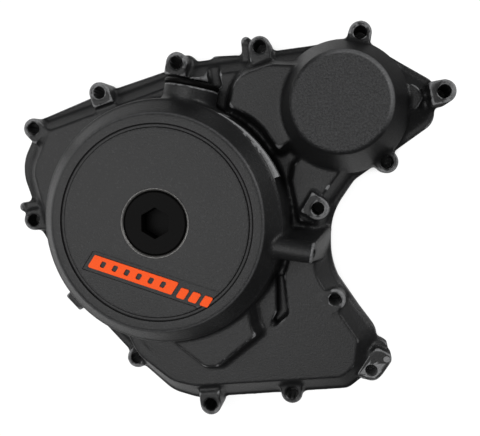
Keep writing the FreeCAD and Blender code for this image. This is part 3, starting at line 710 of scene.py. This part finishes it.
# Painted highlights come next, then painted shade in corners and along the groove
grey = paint.blend(gear_edge_highlight * (0.15 + grain * 0.5), grey, HIGHLIGHT_GREY)
grey = paint.blend(edge_highlight * (0.3 + grain * 0.9), grey, HIGHLIGHT_GREY)
grey = paint.blend(ledge_highlight * 0.42 + disc_rim_highlight * (0.06 + grain * 0.3), grey, HIGHLIGHT_GREY)
grey = paint.blend(corner_shade * 0.4, grey, SHADE_GREY)
grey = paint.blend(groove_shade * 0.9, grey, SHADE_GREY)
paint.set(
    Base_Color=paint.blend(bare, grey, BARE_METAL),
    Metallic=bare * 0.8,
    Roughness=0.34 + grain * 0.2 + groove_shade * 0.5,
    Normal=paint.bump(grain * (0.16 + sandy * 0.5), 1.0),
    IOR=1.33,
)
casting.data.materials.clear()
casting.data.materials.append(paint.material)
print("the paint has", len(paint.tree.nodes), "nodes")

# %% [markdown]
# ## Plugs, rings and inlay
# The plugs are turned aluminium, anodised black. The sealing rings are rubber. The inlay is moulded
# in orange plastic. Their CAD solids have the right shape already, so each keeps its mesh and only
# takes a material.

# %% Materials of the small pieces
black = Finish("black_anodised")
black_grain = black.noise(black.place(), 0.6, 2.0)
black.set(
    Base_Color=(0.0020, 0.0019, 0.0019, 1),
    Roughness=0.36 + black_grain * 0.1,
    Normal=black.bump(black_grain, 0.02, 0.35),
    IOR=1.11,
)
rubber = Finish("ring_rubber")
rubber.set(Base_Color=(0.008, 0.008, 0.008, 1), Roughness=0.7)
orange = Finish("orange_plastic")
orange_grain = orange.noise(orange.place(), 0.5, 2.0)
orange.set(
    Base_Color=(0.84, 0.082, 0.006, 1),
    Roughness=0.5 + orange_grain * 0.1,
    Normal=orange.bump(orange_grain, 0.02, 0.2),
    IOR=1.25,
)
FINISHES = {
    "crank_plug": black,
    "timing_plug": black,
    "crank_plug_ring": rubber,
    "timing_plug_ring": rubber,
    "orange_inlay": orange,
}
for name, finish in FINISHES.items():
    node = nodes[name]
    for slot in node.material_slots:
        slot.material = finish.material
    if not node.material_slots:
        node.data.materials.append(finish.material)
print("finishes given to", sorted(FINISHES))

# %% [markdown]
# ## Camera
# The photograph was taken from almost straight above, about 375 mm away, a little towards the
# sprocket side. The place and the target below come from fitting the bolt holes and the round edges
# of the rotor bulge.

# %% Set the camera
CAMERA_PLACE = Vector((97.247, 28.606, 375.551)) * MM
CAMERA_TARGET = Vector((35.52, -0.68, 0.0)) * MM
LENS = 49.875
SENSOR_WIDTH = 36.0
NEAREST_SEEN = 0.01
camera = bpy.data.objects.new("camera", bpy.data.cameras.new("camera"))
bpy.context.scene.collection.objects.link(camera)
bpy.context.scene.camera = camera
forward = (CAMERA_TARGET - CAMERA_PLACE).normalized()
right = forward.cross(Vector((0, 1, 0))).normalized()
up = right.cross(forward)
turn = Matrix((right, up, -forward)).transposed().to_4x4()
camera.matrix_world = Matrix.Translation(CAMERA_PLACE) @ turn
camera.data.lens = LENS
camera.data.sensor_width = SENSOR_WIDTH
camera.data.clip_start = NEAREST_SEEN
print("camera looks along", [round(part, 3) for part in forward])

# %% [markdown]
# ## Floor and light
# The part lies on a sheet of white card in an otherwise dim room, under one big soft light. Seen
# from the side, the paint mirrors the card: walls that lean away from the lens come out light on the
# side where the card is bright and nearly black where it ends. The camera sees the floor as white
# all over, except for the part's shadow, which is partly cast by the lamps and partly painted
# shadow.

# %% Floor
FLOOR_SIZE = 4.0
FLOOR_DROP = 0.0003
floor_tool = bmesh.new()
bmesh.ops.create_grid(floor_tool, x_segments=1, y_segments=1, size=FLOOR_SIZE)
floor_mesh = bpy.data.meshes.new("floor")
floor_tool.to_mesh(floor_mesh)
floor_tool.free()
floor = bpy.data.objects.new("floor", floor_mesh)
floor.location.z = -FLOOR_DROP
bpy.context.scene.collection.objects.link(floor)
print("the floor lies", FLOOR_DROP / MM, "mm under the cover")

# %% The card's two masks
CARD_MIDDLE = (-0.06, 0.0, 0.0)
CARD_REACH = (0.12, 0.23)
SHADOW_REACH = 0.03
ground = Finish("white_card")
spot = ground.node("ShaderNodeNewGeometry")
away = {"operation": "DISTANCE"}
room = ground.node("ShaderNodeVectorMath", away, (spot, CARD_MIDDLE), output=1).between(*CARD_REACH)
sight = {"Distance": SHADOW_REACH}
near = ground.node("ShaderNodeAmbientOcclusion", {"samples": 12}, sight, output=1)
# Painted shadow: where Ambient Occlusion finds the floor hemmed in, in bolt holes and beside the
# walls, the card turns dark and its white glow is held back
open_floor = near.between(0.15, 0.46)
print("the card ends between", CARD_REACH, "metres from its middle")

# %% The card's material
CARD = (0.85, 0.85, 0.85, 1)
PAINTED_SHADOW_GREY = (0.02, 0.02, 0.02, 1)
ROOM = (0.05, 0.05, 0.05, 1)
CARD_GLOW = 0.8
MIRRORED_GLOW = 0.6
WHITE_GLOW = 1.1
card = ground.blend(open_floor, PAINTED_SHADOW_GREY, ground.blend(room, CARD, ROOM))
ground.set(Base_Color=card, Roughness=0.9)
camera_ray = ground.node("ShaderNodeLightPath")
path = camera_ray.socket.node.outputs
glossy_ray = Value(ground, path["Is Glossy Ray"])
through_ray = Value(ground, path["Is Transmission Ray"])
seen = camera_ray * (CARD_GLOW + room * (1.0 - CARD_GLOW))
seen = seen + glossy_ray * MIRRORED_GLOW * (1.0 - room) + through_ray
glow = ground.node("ShaderNodeEmission", {}, {"Color": (1, 1, 1, 1), "Strength": WHITE_GLOW})
lit = Value(ground, ground.shader.outputs[0])
mixed = ground.node("ShaderNodeMixShader", {}, (seen * open_floor, lit, glow))
output = ground.tree.nodes["Material Output"]
ground.tree.links.new(mixed.socket, output.inputs["Surface"])
floor.data.materials.append(ground.material)
print("the card's material has", len(ground.tree.nodes), "nodes")

# %% Lights
TARGET = Vector((0.02, 0.0, 0.0))


def soft_light(name, place, size, power):
    """Rectangular area light that looks at the middle of the part; place and size are in metres."""
    data = bpy.data.lights.new(name, "AREA")
    data.shape = "RECTANGLE"
    data.size, data.size_y = size
    data.energy = power
    light = bpy.data.objects.new(name, data)
    light.location = place
    light.rotation_mode = "QUATERNION"
    light.rotation_quaternion = (TARGET - Vector(place)).to_track_quat("-Z", "Y")
    bpy.context.scene.collection.objects.link(light)
    print(name, "gives", power, "watts")


soft_light("overhead", (-0.24, -0.08, 1.1), (1.15, 1.05), 12.5)
soft_light("upper_right", (0.85, 0.5, 0.42), (0.16, 0.5), 5.0)
soft_light("left_strip", (-0.8, 0.1, 0.45), (0.2, 1.0), 2.0)

# %% World: a dim room, seen as white by the camera
ROOM_LIGHT = 0.08
WHITE = 1.0
world = bpy.data.worlds.new("studio")
bpy.context.scene.world = world
world.use_nodes = True
sky = world.node_tree
backgrounds = [sky.nodes["Background"], sky.nodes.new("ShaderNodeBackground")]
for background, strength in zip(backgrounds, (ROOM_LIGHT, WHITE)):
    background.inputs["Color"].default_value = (1, 1, 1, 1)
    background.inputs["Strength"].default_value = strength
sky_ray = sky.nodes.new("ShaderNodeLightPath")
sky_mix = sky.nodes.new("ShaderNodeMixShader")
feeds = [sky_ray.outputs["Is Camera Ray"]] + [background.outputs[0] for background in backgrounds]
for socket, feed in zip(sky_mix.inputs, feeds):
    sky.links.new(feed, socket)
sky.links.new(sky_mix.outputs[0], sky.nodes["World Output"].inputs["Surface"])
bpy.context.scene.view_settings.view_transform = "Standard"
print("the room's light is", ROOM_LIGHT)
